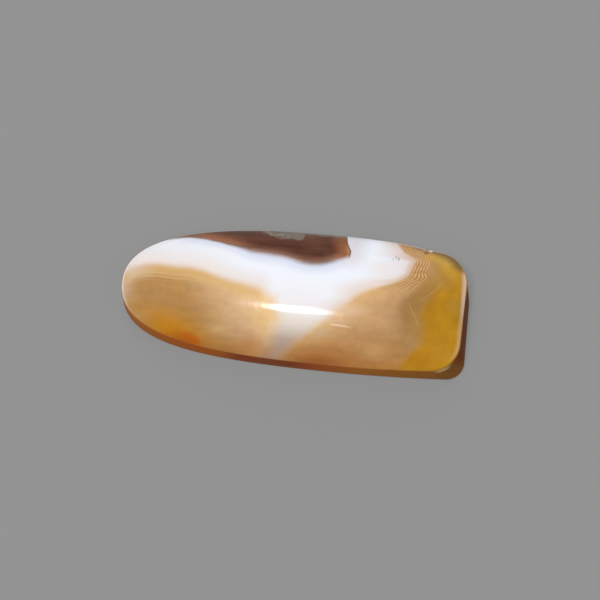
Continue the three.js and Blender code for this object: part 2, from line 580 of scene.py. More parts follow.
# %% Draw the borders of the white and the brown band
WHITE_BELOW = (
    (-19.5, 0.9), (-18.5, 1.4), (-16.9, 1.9), (-15.4, 2), (-14, 1.95), (-12.3, 2), (-10.7, 1.8), (-9.3, 1.4),
    (-7.5, 0.93), (-5.7, 0.6), (-4.2, 0.24), (-2.9, -0.42), (-1.9, -1.2), (-1.2, -2.5),
)
WHITE_RIGHT = (
    (8, 10.4), (7.2, 10.8), (6.4, 11.6), (6, 12.4), (5.7, 13), (5.1, 12.9), (4.7, 12.8), (4, 12.6),
    (3.4, 12.1), (2.9, 11.1), (2.5, 10.2), (2, 9), (1.6, 8.2), (1.1, 7.4), (0.2, 6.5), (-0.8, 5.4),
    (-2, 4.5), (-3, 3.4), (-4.1, 2.5), (-5.5, 1.3), (-7.2, 0.2), (-9, -0.6),
)
TAIL_LEFT = (
    (1, -0.4), (0, -1.2), (-1.3, -1.9), (-2.3, -1.4), (-3.5, -1.6), (-4.7, -1.9), (-6, -2), (-7.5, -2.4),
)
BROWN_BELOW = (
    (-18, 4.8), (-16.2, 5), (-15.1, 5.2), (-14.1, 5.44), (-12.3, 5.63), (-10, 5.48), (-8.5, 5.28),
    (-7.1, 5.12), (-5.9, 4.9), (-3.9, 4.76), (-1.8, 4.62), (-0.3, 4.3), (0.7, 4.14), (2.3, 4.2), (3.5, 4.6),
    (4.6, 5.15), (5.5, 5.5),
)
BROWN_RIGHT = ((5.5, 5.6), (5.8, 5.6), (6.4, 5.3), (7, 5), (7.6, 4.9))

below_white = calc("MULTIPLY", past(across, along, WHITE_BELOW), -1)
past_white = past(along, across, WHITE_RIGHT)
along_past_white = calc("SUBTRACT", along, border(across, WHITE_RIGHT))
before_tail = calc("SUBTRACT", border(across, TAIL_LEFT), along)
into_brown = past(across, along, BROWN_BELOW)
before_right = calc("SUBTRACT", border(across, BROWN_RIGHT), along)
print("with these borders it has", len(tree.nodes), "nodes")

# %% [markdown]
# Some more helpers make masks. A blot is a soft oval, as a drop of stain would leave. A window is a band with
# soft rims. An area is bounded by steps and windows on any of the measures, and fine lines are sheets seen on
# edge. Masks are multiplied, so a place has to lie inside all of them.

# %% Helpers that make masks
HALF = 0.5
WINDOW_PARTS = 5


def between(mask, start, end):
    """A number that goes from the start to the end as a mask goes from 0 to 1."""
    return calc("MULTIPLY_ADD", mask, end - start, start)


def both(*masks):
    """Masks or strengths multiplied together."""
    result = masks[0]
    for mask in masks[1:]:
        result = calc("MULTIPLY", result, mask)
    return result


def blot(strength, at, size, turn=0):
    """A soft oval mask, at this strength in its middle and 0 at its rim."""
    off_x = calc("SUBTRACT", along, at[0])
    off_y = calc("SUBTRACT", across, at[1])
    cosine, sine = math.cos(turn), math.sin(turn)
    main_x = calc("MULTIPLY", off_x, cosine / size[0])
    main_y = calc("MULTIPLY", off_y, sine / size[0])
    side_x = calc("MULTIPLY", off_x, sine / size[1])
    side_y = calc("MULTIPLY", off_y, cosine / size[1])
    main, side = calc("ADD", main_x, main_y), calc("SUBTRACT", side_y, side_x)
    reach = calc("SQRT", calc("ADD", calc("MULTIPLY", main, main), calc("MULTIPLY", side, side)))
    return calc("MULTIPLY", soft_step(reach, 1, 0), strength)


def window(value, rise_start, rise_end, fall_start, fall_end):
    return both(soft_step(value, rise_start, rise_end), soft_step(value, fall_end, fall_start))


def area(strength, *rims):
    """A mask with soft rims. A rim is a measure with two places for a step, or with four for a window."""
    masks = [window(*rim) if len(rim) == WINDOW_PARTS else soft_step(*rim) for rim in rims]
    return both(*masks, strength)


def fine_lines(measure, gap, sharpness=1):
    """Lines side by side, one for each gap, from 0 between them to 1 in their middles."""
    wave = calc("COSINE", calc("MULTIPLY", calc("DIVIDE", measure, gap), math.tau))
    return calc("POWER", calc("MULTIPLY_ADD", wave, HALF, HALF), sharpness)


print("a window has", WINDOW_PARTS, "parts: a measure and four places on it")

# %% [markdown]
# Three helpers put colour on: a ramp blends through colours along a measure, lay paints coat after coat, and
# a cloud lightens and darkens what is there with noise. The noises are made once and drawn out along the
# sheets, because growth varied from sheet to sheet and hardly within one: long wisps, fine streaks, a mottle
# and a slow haze.

# %% Helpers that put colour on
SHEET_FLATNESS = 0.5     # the noise changes this much slower with height
WISP_CONTRAST = 0.2
MOTTLE_CONTRAST = 0.15


def ramp(measure, stops):
    """Blends through colours that each stand at a place in millimetres."""
    node = add_node("ValToRGB", {0: in_span(measure)})
    marks = node.color_ramp.elements
    while len(marks) < len(stops):
        marks.new(NEW_POINT)
    for mark, (where, colour) in zip(marks, stops):
        mark.position = span_part(where)
        mark.color = colour
    return node.outputs[0]


def lay(under, *coats):
    """Paints coat after coat over a colour. A coat is a colour and its mask."""
    for colour, mask in coats:
        under = paint(under, colour, mask)
    return under


def cloud(colour, value, contrast):
    """Lightens a colour where the value is above 0.5, and darkens it where it is below."""
    inputs = {0: contrast, MIX_UNDER: colour, MIX_OVER: value}
    return add_node("Mix", inputs, data_type="RGBA", blend_type="OVERLAY").outputs[MIX_COLOUR]


def drawn_out(vector, turn, scale):
    """Coordinates turned about the vertical and scaled, so that noise on them forms streaks."""
    return add_node("Mapping", {"Vector": vector, "Rotation": (0, 0, turn), "Scale": scale}).outputs[0]


sheet_height = calc("MULTIPLY", solid_z, SHEET_FLATNESS)
sheet_place = add_node("CombineXYZ", {0: along, 1: across, 2: sheet_height}).outputs[0]
wisps = noise(1, detail=3, vector=drawn_out(sheet_place, -0.12, (0.2, 0.75, 0.6))).outputs[0]
streaks = noise(1, detail=2, vector=drawn_out(sheet_place, 0.02, (0.25, 2.6, 1))).outputs[0]
mottle = noise(1.1, detail=2, vector=sheet_place).outputs[0]
haze = noise(0.35, detail=2, vector=sheet_place).outputs[0]
print("with the noises it has", len(tree.nodes), "nodes")

# %% [markdown]
# Left of the white band the stone is honey tan: clear, and so deeper in colour towards the nose, and milky
# towards the middle. Towards the near side the tan is darkened to a warm brown as painted shade, and a pool
# of amber with two orange spots lies in it. A pale blot left of the highlight is painted highlight haze. The
# tip of the nose is pale again. Just under the white band runs an ochre line, and next to it a few sheets are
# paler than the rest.

# %% Colour the nose
HONEY_SLANT = 0.8
HONEY = (
    (-17, shade(182, 138, 84)), (-13.5, shade(181, 136, 80)), (-11.5, shade(190, 149, 98)),
    (-10, shade(203, 162, 116)), (-8.5, shade(211, 171, 127)), (-7.2, shade(219, 180, 135)),
    (-5.8, shade(228, 190, 141)), (-4.4, shade(238, 203, 155)),
)
PALE_SHEET = shade(214, 178, 126)
NEAR_SIDE_SHADE_TAN = shade(184, 122, 54)
AMBER_POOL = shade(196, 132, 24)
ORANGE_POOL = shade(186, 104, 14)
ORANGE_SPOT = shade(194, 88, 6)
YELLOW_BLOT = shade(234, 192, 128)
PAINTED_HIGHLIGHT_HAZE = shade(246, 214, 178)
PALE_NOSE = shade(216, 192, 170)
OCHRE_LINE = shade(218, 178, 118)
PALE_SHEET_GAP = 0.42

nose = lay(
    ramp(calc("MULTIPLY_ADD", across, HONEY_SLANT, along), HONEY),
    (PALE_SHEET, blot(0.5, (-7.5, -4.6), (2.8, 1.4), 0.1)),
    (PALE_SHEET, blot(0.35, (-16.9, -4.4), (1.9, 1.3))),
    # painted shade: the near side darkened to a warm brown
    (NEAR_SIDE_SHADE_TAN, area(0.7, (across, -4.2, -7.4))),
    (AMBER_POOL, blot(1, (-13.2, -5.1), (6.6, 3.2), -0.3)),
    (AMBER_POOL, blot(0.6, (-14.4, -6.2), (2.6, 1.3), -0.3)),
    (ORANGE_POOL, blot(1, (-11.6, -6.6), (4.2, 1.9), -0.3)),
    (ORANGE_SPOT, blot(0.6, (-11.2, -5.7), (1.3, 0.7), -0.4)),
    (ORANGE_SPOT, blot(0.8, (-10.4, -6.3), (1.2, 0.9))),
    (YELLOW_BLOT, blot(0.55, (-3.1, -2.7), (2, 1.9))),
    (YELLOW_BLOT, blot(0.4, (-1.6, -4.7), (1.3, 1.2))),
    # more painted shade towards the near side
    (NEAR_SIDE_SHADE_TAN, blot(0.35, (-4, -5.9), (1.9, 1.2))),
    # painted highlight haze left of the highlight
    (PAINTED_HIGHLIGHT_HAZE, blot(0.4, (-5, -1.2), (3, 0.9))),
    (PALE_NOSE, area(0.55, (along, -17.6, -19.6), (across, -4, -1))),
)
nose = cloud(cloud(nose, wisps, WISP_CONTRAST), mottle, MOTTLE_CONTRAST)
pale_sheets = fine_lines(below_white, PALE_SHEET_GAP, sharpness=2)
sheets_room = area(0.6, (below_white, 0.5, 0.8, 1.3, 1.9), (along, -18.5, -17, -14, -9))
nose = lay(
    nose,
    (OCHRE_LINE, area(0.75, (below_white, 1.7, 0.3), (along, -3, -4.6))),
    (PALE_NOSE, blot(0.7, (-18.8, 1.2), (3.4, 1.6))),
    (PALE_SHEET, both(pale_sheets, sheets_room)),
)
print("with the nose it has", len(tree.nodes), "nodes")

# %% [markdown]
# Right of the white band the tan starts milky and gets browner. All of it follows the white band's edge,
# because every sheet was laid down on the one before, so these colours are a ramp over the distance from that
# edge and not over the length of the stone. Before the amber at the squared end lies a strip of grey brown,
# more olive towards the far side. Two pale blots beside the highlight's right end are painted highlight haze,
# and the near side is darkened with painted shade.

# %% Colour the tan right of the white band
RIGHT_TANS = (
    (-0.5, shade(232, 200, 160)), (0.3, shade(221, 183, 126)), (2, shade(211, 170, 119)),
    (4, shade(200, 158, 110)), (6, shade(196, 153, 107)), (8, shade(188, 147, 99)), (10, shade(182, 140, 92)),
)
STRIP_LEFT = (
    (-7, 12.2), (-4, 12.4), (-1, 12), (0, 11.9), (1, 12.2), (2, 13), (3, 13.9), (4, 14.4), (5, 14.8),
    (6.5, 15),
)
GREY_BROWN = shade(164, 124, 74)
OLIVE_TAN = shade(172, 130, 66)
OLIVE_UP = shade(184, 142, 78)
THREAD_TAN = shade(186, 142, 94)
PAINTED_HIGHLIGHT_TAN = shade(236, 206, 180)
MILKY_TAN = shade(208, 186, 166)

past_strip = calc("SUBTRACT", along, border(across, STRIP_LEFT))
end = lay(
    ramp(along_past_white, RIGHT_TANS),
    (GREY_BROWN, area(1, (past_strip, -0.9, 1.2), (across, -7, 0))),
    (OLIVE_TAN, area(0.8, (past_strip, 0.6, 2.4), (across, -6, -1))),
    (OLIVE_UP, area(0.8, (past_strip, -2, 0), (across, 1.6, 3.4))),
    (THREAD_TAN, area(0.75, (across, 1.5, 4), (along_past_white, 3.4, 1.6))),
    # painted highlight haze beside the highlight's right end
    (PAINTED_HIGHLIGHT_TAN, blot(0.6, (6.2, -0.8), (3, 1.2))),
    (PAINTED_HIGHLIGHT_TAN, blot(0.4, (5.2, -2.2), (2, 1.1))),
    (MILKY_TAN, blot(0.5, (3.7, -4), (2, 1), 0.7)),
    # painted shade along the near side
    (NEAR_SIDE_SHADE_TAN, area(0.75, (across, -2, -7.2), (along, 14.5, 12))),
    (PALE_SHEET, blot(0.35, (10.2, -5.5), (3.2, 1.7))),
)
end = cloud(cloud(end, wisps, WISP_CONTRAST), mottle, MOTTLE_CONTRAST)
print("with the right tan it has", len(tree.nodes), "nodes")

# %% [markdown]
# The squared end is clear amber with paler and deeper pools in it. Its border is sharpest in the middle of
# the stone and softer to both sides, so the place where its mask starts changes with the place across. The
# near side is darkened last with a reddish brown, which is painted shade.

# %% Lay clear amber at the squared end
AMBER_LEFT = (
    (5.7, 16.6), (4.7, 16.4), (3.3, 16.2), (2.3, 15.9), (1.3, 15.5), (0.4, 14.8), (-0.6, 14.7), (-1.7, 15.4),
    (-2.9, 15.5), (-4.1, 15.4), (-5, 14.6), (-6, 14), (-7, 13.4),
)
CLEAR_AMBER = shade(190, 137, 26)
PALE_AMBER = shade(206, 166, 72)
GOLD_AMBER = shade(189, 144, 44)
DEEP_AMBER = shade(181, 122, 16)
STRIP_SHADE = shade(152, 112, 52)
NEAR_SIDE_SHADE_RED = shade(158, 92, 36)
HAZE_CONTRAST = 0.35
AMBER_MOTTLE = 0.1
AMBER_STARTS = (-0.3, -1.2)
NEAR_SHIFT = -0.9
AMBER_FULL = 0.5

amber = lay(
    CLEAR_AMBER,
    (PALE_AMBER, blot(0.75, (16.4, 6), (4.2, 2), -0.3)),
    (GOLD_AMBER, blot(0.9, (18.2, 4.6), (2.4, 1.8))),
    (DEEP_AMBER, blot(0.5, (15.6, 0.5), (2.2, 1.7))),
    (OLIVE_TAN, blot(0.75, (16.2, 3.6), (2.6, 1.9))),
    (PALE_AMBER, blot(0.3, (18.3, 0.8), (1.4, 2))),
    (DEEP_AMBER, blot(0.8, (15.2, -5.7), (3.2, 2))),
    (GOLD_AMBER, blot(0.4, (17.8, -4.8), (1.7, 1.4))),
)
amber = cloud(cloud(amber, haze, HAZE_CONTRAST), mottle, AMBER_MOTTLE)
past_amber = calc("SUBTRACT", along, border(across, AMBER_LEFT))
far_start = between(soft_step(across, 0, 3), *AMBER_STARTS)
amber_start = calc("MULTIPLY_ADD", soft_step(across, -0.5, -2), NEAR_SHIFT, far_start)
end = lay(
    end,
    (amber, soft_step(past_amber, amber_start, AMBER_FULL)),
    (PALE_AMBER, area(0.55, (across, 5, 6.2), (along, 13.4, 14.8, 16.5, 18))),
    (STRIP_SHADE, blot(0.4, (15, 2.3), (1.7, 3.6))),
    # painted shade: the near side darkened to a reddish brown
    (NEAR_SIDE_SHADE_RED, blot(0.8, (4, -7.6), (6, 2.6))),
    (NEAR_SIDE_SHADE_RED, blot(0.2, (5, -5.4), (3, 1.4))),
)
print("with the amber it has", len(tree.nodes), "nodes")

# %% [markdown]
# Next to the white band the squared end is a stack of hair-fine light and dark sheets. They follow every kink
# of the band's edge but drift apart downwards. So the distance is counted in threads: from 0 at the band's
# edge to 5 at a second drawn curve, where the last thread runs, and each whole number gets a pale line. Two
# fainter single threads lie further on, and a short bright line near the middle is a painted reflection.

# %% Draw the fine threads
THREADS_END = (
    (8, 12), (7.2, 12.5), (6.6, 13), (6.1, 13.6), (5.8, 14.2), (5.5, 14.6), (4.8, 14.4), (4.2, 14.3),
    (3.7, 14.5), (3.2, 14), (2.6, 13.4), (1.8, 12.8), (1.2, 12.5), (0.6, 12.4), (-1, 12),
)
THREAD_COUNT = 5
THREAD_SHIFT = 0.9       # how far noise pushes a thread out of line, in threads
THREAD_SHARPNESS = 1.5
THREAD_STRENGTHS = (0.45, 0.95)
DARK_STRENGTH = 0.75
DARK_THREAD = shade(166, 118, 66)
PALE_THREAD = shade(222, 182, 130)
FAINT_THREADS = (
    {"line": ((3.6, 16.6), (3, 16.1), (2.4, 15.8), (1.8, 15.1), (1.2, 14.4)),
     "room": (0.8, 2, 2.8, 3.8)},
    {"line": ((1.2, 12.9), (0.6, 13.1), (-0.3, 13.6), (-1.4, 14.3), (-2.2, 14.6)),
     "room": (-2.6, -1.2, 0, 1.2)},
)
FAINT_WIDTH = 0.14
FAINT_STRENGTH = 0.22
REFLECTION_STREAK = ((3.6, -2.75), (4.5, -2.75), (5.4, -2.78), (6.3, -2.8), (7.4, -2.95), (9.8, -3.1))
REFLECTION_WHITE = shade(242, 216, 186)
REFLECTION_WIDTH = 0.18

thread_gap = calc("SUBTRACT", border(across, THREADS_END), border(across, WHITE_RIGHT))
thread_number = calc("MULTIPLY", calc("DIVIDE", along_past_white, thread_gap), THREAD_COUNT)
thread_number = calc("ADD", thread_number, centred(mottle, THREAD_SHIFT))
thread_lines = fine_lines(thread_number, 1, THREAD_SHARPNESS)
thread_strength = between(soft_step(streaks, 0.3, 0.6), *THREAD_STRENGTHS)
thread_room = area(1, (thread_number, 0.1, 0.6, 5.2, 5.6), (across, 1.2, 3.6))
end = lay(
    end,
    (DARK_THREAD, both(thread_room, DARK_STRENGTH)),
    (PALE_THREAD, both(thread_lines, thread_room, thread_strength)),
)
for faint in FAINT_THREADS:
    off_line = calc("ABSOLUTE", past(along, across, faint["line"]))
    faint_mask = area(FAINT_STRENGTH, (off_line, FAINT_WIDTH, 0), (across, *faint["room"]))
    end = paint(end, PALE_THREAD, faint_mask)
# a painted reflection: a short bright streak of light near the middle
off_reflection = calc("ABSOLUTE", past(across, along, REFLECTION_STREAK))
end = paint(end, REFLECTION_WHITE, area(0.8, (off_reflection, REFLECTION_WIDTH, 0), (along, 4.4, 5.2, 5.8, 7.6)))
print("with its threads it has", len(tree.nodes), "nodes")

# %% [markdown]
# The white band is milky chalcedony, almost opaque: faintly blue along the brown band, lilac beside that
# band's right end, and warmer next to the tans and the threads. Its tail thins to a smoky pink towards the
# near side. Three tiny pits near the far side are open to the surface and look grey.

# %% Colour the white band
MILK = shade(237, 240, 248)
TAIL = (
    (-8, shade(174, 134, 104)), (-7, shade(186, 152, 126)), (-6, shade(180, 155, 135)),
    (-5, shade(188, 168, 152)), (-4, shade(218, 202, 190)), (-3, shade(233, 221, 211)),
    (-2, shade(238, 231, 226)), (-0.6, shade(239, 236, 238)), (1, shade(239, 238, 243)), (2.6, MILK),
)
LEFT_MILK = shade(232, 232, 238)
WARM_MILK = shade(233, 224, 221)
PINK_MILK = shade(226, 204, 190)
THREAD_PINK = shade(208, 172, 142)
BLUE_MILK = shade(208, 214, 232)
LILAC_MILK = shade(220, 214, 222)
PIT_GREY = shade(130, 128, 134)
MILK_WISPS = 0.08
BLUE_STARTS = (-1, -1.8)
BLUE_STRENGTHS = (0.7, 0.85)
PITS = (
    {"strength": 0.9, "at": (11.1, 5.62), "size": (0.34, 0.14), "turn": -1.2},
    {"strength": 0.9, "at": (10.75, 5.75), "size": (0.3, 0.1), "turn": -1.1},
    {"strength": 0.5, "at": (10.45, 5.5), "size": (0.3, 0.1), "turn": -1.1},
)

brown_softness = soft_step(along, -9, -5)
blue_start = between(brown_softness, *BLUE_STARTS)
blue_room = area(between(brown_softness, *BLUE_STRENGTHS), (along, -15, -12), (before_right, -0.4, 0.8))
white = lay(
    cloud(ramp(across, TAIL), wisps, MILK_WISPS),
    (LEFT_MILK, area(0.5, (along, -5, -9))),
    (WARM_MILK, area(1, (below_white, -2.8, -0.6), (along, -2, -4))),
    (WARM_MILK, area(1, (past_white, -2.2, -0.6), (across, -2, 0))),
    (BLUE_MILK, both(soft_step(into_brown, blue_start, -0.1), blue_room)),
    (LILAC_MILK, area(0.9, (along, 4, 5.2, 5.7, 8.2), (across, 3.2, 5.6))),
    (LILAC_MILK, area(0.5, (along, 8, 12), (across, 2, 5))),
    (WARM_MILK, area(0.65, (along, 6.5, 9.5), (across, 1.5, 3, 4.2, 5.8))),
    (PINK_MILK, area(0.6, (past_white, -1.1, -0.1), (across, -4, -1))),
    (OCHRE_LINE, blot(0.2, (3.8, -1.4), (1.3, 0.9))),
    (THREAD_PINK, area(0.75, (past_white, -1, 0), (across, 2.4, 3.6, 5.6, 6.6))),
    (PINK_MILK, area(0.6, (below_white, -0.9, -0.2), (along, -8, -12))),
    *[(PIT_GREY, blot(**pit)) for pit in PITS],
)
print("with the white band's colours it has", len(tree.nodes), "nodes")

# %% [markdown]
# The band is sharp against the tan at the far side and fades out over more than a millimetre lower down, and
# most in its tail. So the width of each border is a number that changes along it. The tans of the nose and of
# the squared end are then laid over the white, each with its own mask.

# %% Set the white band between the tans
NOSE_STARTS = (-0.55, -1.05)
NOSE_FULL = 0.35
RIGHT_STARTS = (-0.9, -0.25)
RIGHT_FULL = (0.5, 0.3)
TAIL_FADE = 0.5

nose_start = between(soft_step(along, -12, -4), *NOSE_STARTS)
nose_mask = both(soft_step(below_white, nose_start, NOSE_FULL), soft_step(before_tail, -1.5, 1))
right_sharpness = soft_step(across, -1.5, 3.5)
tail_fade = both(soft_step(across, -1.5, -6), TAIL_FADE)
right_start = calc("SUBTRACT", between(right_sharpness, *RIGHT_STARTS), tail_fade)
end_mask = soft_step(past_white, right_start, between(right_sharpness, *RIGHT_FULL))
stone_colour = lay(white, (nose, nose_mask), (end, end_mask))
print("with the white band in place it has", len(tree.nodes), "nodes")

# %% [markdown]
# At the far side a dark brown band lies on the white one. It is paler in its outermost sheets and darkens
# over the first millimetre. Inside, fine sheets run side by side with its lower border and bend up with its
# right end, where they close into rings and the band stops at a sharp dark line. A sheet therefore lies as
# deep in the band as the nearer of the two borders is far away.

# %% Colour the brown band
BROWNS = (
    (-0.4, shade(172, 154, 156)), (0, shade(145, 121, 114)), (0.2, shade(131, 97, 81)),
    (0.42, shade(125, 86, 67)), (0.7, shade(104, 66, 51)), (1, shade(90, 54, 41)),
    (2.2, shade(100, 61, 44)),
)
LEFT_BROWN = shade(156, 100, 70)
BROWN_SHEET = shade(66, 38, 30)
BROWN_RING = shade(122, 86, 64)
RIGHT_BROWN = shade(150, 94, 62)
YELLOW_RIM = shade(170, 130, 88)
BROWN_LINE = shade(96, 62, 44)
SHEET_GAP = 0.24
RIGHT_SLANT = 0.8
RIGHT_OFFSET = 0.1
STREAK_CONTRAST = 0.5

sheets_in = calc("MINIMUM", into_brown, calc("MULTIPLY_ADD", before_right, RIGHT_SLANT, RIGHT_OFFSET))
dark_sheets = both(fine_lines(sheets_in, SHEET_GAP), area(0.4, (sheets_in, 0.3, 0.7, 1.6, 3)))
rings_seen = both(fine_lines(sheets_in, SHEET_GAP, sharpness=2), blot(0.45, (1.9, 6.2), (2.4, 1.5)))
brown = lay(
    ramp(into_brown, BROWNS),
    (LEFT_BROWN, area(0.6, (along, -4.5, -8.5), (into_brown, -0.1, 0.3, 0.6, 1.5))),
    (BROWN_SHEET, dark_sheets),
    (BROWN_RING, rings_seen),
    (BROWN_SHEET, blot(0.6, (2, 5.2), (1.1, 0.5))),
    (RIGHT_BROWN, area(0.9, (before_right, 2.4, 0.6))),
    (YELLOW_RIM, area(0.7, (before_right, 0.7, 0.2), (across, 7, 6))),
)
brown = cloud(cloud(brown, wisps, WISP_CONTRAST), streaks, STREAK_CONTRAST)
brown = paint(brown, BROWN_LINE, soft_step(before_right, 0.16, 0.06))
print("with the brown band's colours it has", len(tree.nodes), "nodes")

# %% [markdown]
# In the brown band lies a ragged lens of clear grey quartz, the last filling of the hollow in which the agate
# grew. Coarse noise frays its border, and pale flecks sit along it at the left. Then the whole brown band
# is laid over the white one.

# %% Set quartz into the brown band and lay it down
QUARTZ_BELOW = (
    (-5.1, 7.6), (-4.7, 7.05), (-4.2, 6.85), (-3.6, 6.76), (-2.4, 6.62), (-1.1, 6.6), (-0.7, 6.55),
    (-0.2, 6.62), (0.1, 7.6),
)
QUARTZ_GREY = shade(124, 114, 106)
QUARTZ_FLECK = shade(168, 158, 148)
QUARTZ_STRENGTHS = (0.5, 0.9)
SPECK_SIZE = 2.6         # specks per millimetre
RAGGED = 0.34
BROWN_STARTS = (-0.2, -0.6)
BROWN_FULL = 0.12

specks = noise(SPECK_SIZE, detail=1, vector=sheet_place).outputs[0]
into_quartz = calc("SUBTRACT", calc("ADD", across, centred(specks, RAGGED)), border(along, QUARTZ_BELOW))
quartz_strength = between(soft_step(along, -6, -0.5), *QUARTZ_STRENGTHS)
fleck_noise = noise(1, detail=1, vector=drawn_out(sheet_place, 0.04, (1.6, 5, 1))).outputs[0]
flecks = soft_step(fleck_noise, 0.42, 0.7)
fleck_room = area(0.6, (into_quartz, -0.15, 0.1, 0.35, 0.75), (along, -1.4, -2.6))
brown = lay(
    brown,
    (QUARTZ_GREY, area(quartz_strength, (into_quartz, -0.05, 0.2))),
    (QUARTZ_FLECK, both(flecks, fleck_room)),
)
brown_start = between(brown_softness, *BROWN_STARTS)
brown_mask = both(soft_step(into_brown, brown_start, BROWN_FULL), soft_step(before_right, -0.06, 0.06))
stone_colour = paint(stone_colour, brown, brown_mask)
print("with the brown band it has", len(tree.nodes), "nodes")

# %% [markdown]
# Below the girdle the wall is seen through the whole width of the stone and stands in shade, so every colour
# turns into a deep orange brown there: the stone's own deeper amber together with painted shade. It is
# reddest near the middle, where the opaque white band stands behind it, and darkest round the squared end.
# A faint gleam under the near corner is a painted highlight.

# %% Deepen the wall
WALL = (
    (-17, shade(166, 94, 6)), (-12, shade(168, 84, 0)), (-7, shade(164, 84, 0)), (-5.2, shade(138, 52, 0)),
    (-2.5, shade(128, 56, 4)), (0.8, shade(130, 50, 0)), (3, shade(150, 66, 0)), (5, shade(160, 78, 4)),
    (9, shade(162, 96, 8)), (13, shade(150, 88, 8)), (17, shade(138, 84, 20)), (18.8, shade(112, 70, 30)),
)
DARKEST_WALL_SHADE = shade(104, 48, 0)
WALL_FOOT = shade(124, 92, 36)
CORNER_GLEAM = shade(206, 196, 140)
WALL_TOPS = (1.72, 1.58)         # at the near side and at the far side
WALL_BLEND = 0.22
WALL_STRENGTH = 0.98

# painted shade: the wall's amber darkened to a deep orange brown
painted_wall_shade = lay(
    ramp(along, WALL),
    (DARKEST_WALL_SHADE, area(1, (along, 18.4, 19.2), (across, -6.4, -5))),
    (WALL_FOOT, area(0.25, (solid_z, 1, 0.3))),
    # a painted highlight: a faint gleam under the near corner
    (CORNER_GLEAM, area(
        0.4, (solid_z, 1.25, 1.4, 1.5, 1.65), (solid_x, 17, 17.8, 18.4, 19.2), (solid_y, -5, -6),
    )),
)
wall_top = between(soft_step(solid_y, 1, 4), *WALL_TOPS)
on_wall = soft_step(solid_z, wall_top, calc("SUBTRACT", wall_top, WALL_BLEND))
stone_colour = paint(stone_colour, painted_wall_shade, both(on_wall, WALL_STRENGTH))
print("with the wall it has", len(tree.nodes), "nodes")

# %% [markdown]
# Where the rounded arris catches the light, a pale highlight is painted: along the squared end, round the
# nose, and in a fine line along part of the far side. Over that line, towards the far corner, the dome's
# steep rim is painted a dark olive shade. These four sit at fixed heights on the stone, so they use its plain
# coordinates and don't lean.

# %% Lighten the arris and darken the far rim
ARRIS_HIGHLIGHT = shade(224, 198, 178)
NOSE_HIGHLIGHT = shade(238, 226, 216)
FAR_RIM_SHADE = shade(114, 92, 68)
FAR_RIM_HIGHLIGHT = shade(222, 210, 206)
ARRIS_STRENGTHS = (0.36, 0.92)   # near the near corner and further on
ARRIS_TOPS = (1.95, 2.17)

arris_strength = between(soft_step(solid_y, -2, 1.5), *ARRIS_STRENGTHS)
arris_top = between(soft_step(solid_y, -4.5, -1.5), *ARRIS_TOPS)
stone_colour = lay(
    stone_colour,
    # painted highlight on the arris along the squared end
    (ARRIS_HIGHLIGHT, area(
        arris_strength, (solid_z, 1.6, 1.7, 1.74, arris_top),
        (solid_x, 18.2, 19.1), (solid_y, -6.2, -3.8), (solid_y, 6.2, 5),
    )),
    # painted highlight on the arris round the nose
    (NOSE_HIGHLIGHT, area(0.75, (solid_z, 1.52, 1.62, 1.72, 1.86), (solid_x, -14, -17), (solid_y, -4.6, -0.5))),
    # painted shade on the far corner's steep rim
    (FAR_RIM_SHADE, area(0.9, (solid_z, 1.62, 1.76, 1.78, 2.5), (solid_y, 4.2, 5.4), (solid_x, 11, 14.5))),
    # painted highlight in a fine line along the far side
    (FAR_RIM_HIGHLIGHT, area(0.9, (solid_z, 1.4, 1.5, 1.66, 1.84), (solid_y, 4.2, 5.4), (solid_x, 5.5, 7, 14, 17.5))),
)
print("with the arris it has", len(tree.nodes), "nodes")

# %% [markdown]
# The nick shows fresh, unpolished stone: pale specks on grey, with a painted shadow on the dome beside it.
# Its mask is the distance from the two balls that cut it, so colour and shape agree.

# %% Colour the nick
FRESH_STONE = shade(222, 212, 194)
NICK_GREY = shade(140, 120, 86)
NICK_SHADOW = shade(84, 54, 28)
NICK_SHADOW_BLOT = {"strength": 0.7, "at": (14.05, 6.62), "size": (0.42, 0.26)}
NICK_RIM, NICK_CORE = 0.42, 0.34
FRESH_SPECKS = 3.2       # specks per millimetre

nick_reach = calc("MINIMUM", *[
    add_node("VectorMath", {0: in_mm, 1: ball["at"]}, operation="DISTANCE").outputs["Value"]
    for ball in NICK_BALLS
])
nick_mask = soft_step(nick_reach, NICK_RIM, NICK_CORE)
fresh_mask = soft_step(noise(FRESH_SPECKS, detail=1).outputs[0], 0.44, 0.54)
stone_colour = lay(
    stone_colour,
    # a painted shadow on the dome beside the nick
    (NICK_SHADOW, blot(**NICK_SHADOW_BLOT)),
    (paint(NICK_GREY, FRESH_STONE, fresh_mask), nick_mask),
)
print("with the nick it has", len(tree.nodes), "nodes")

# %% [markdown]
# The dome was polished until it is as smooth as glass. The arris and the wall had less polish and the back
# was only sanded, so roughness rises from one to the next, and the roughest of them wins at each place.

# %% Set how smooth each part is
POLISH = 0.11
ARRIS_POLISH = 0.35
WALL_POLISH = 0.5
BACK_SANDED = 0.55
NICK_BROKEN = 0.5

on_back = soft_step(solid_z, 0.25, 0.12)
on_arris = window(solid_z, 1.45, 1.56, 1.76, 1.9)
roughness = POLISH
for mask, level in (
    (on_wall, WALL_POLISH), (on_arris, ARRIS_POLISH), (on_back, BACK_SANDED), (nick_mask, NICK_BROKEN),
):
    roughness = calc("MAXIMUM", roughness, both(mask, level))
print("roughness goes from", POLISH, "on the dome to", BACK_SANDED, "on the back")

# %% [markdown]
# The lap leaves even the dome very slightly rippled, and it cuts the softer sheets a hair deeper than the
# harder ones, most beside the white band. Neither shows as colour, but both fray the ends of a highlight. A
# bump of four thousandths of a millimetre is enough, and no mesh could carry anything so fine.

# %% Ripple the polish
RELIEF_HEIGHT = 0.000004
SHEET_RELIEF = 0.6
RIGHT_SHEET_GAP = 0.5
LEFT_SHEET_GAP = 0.78

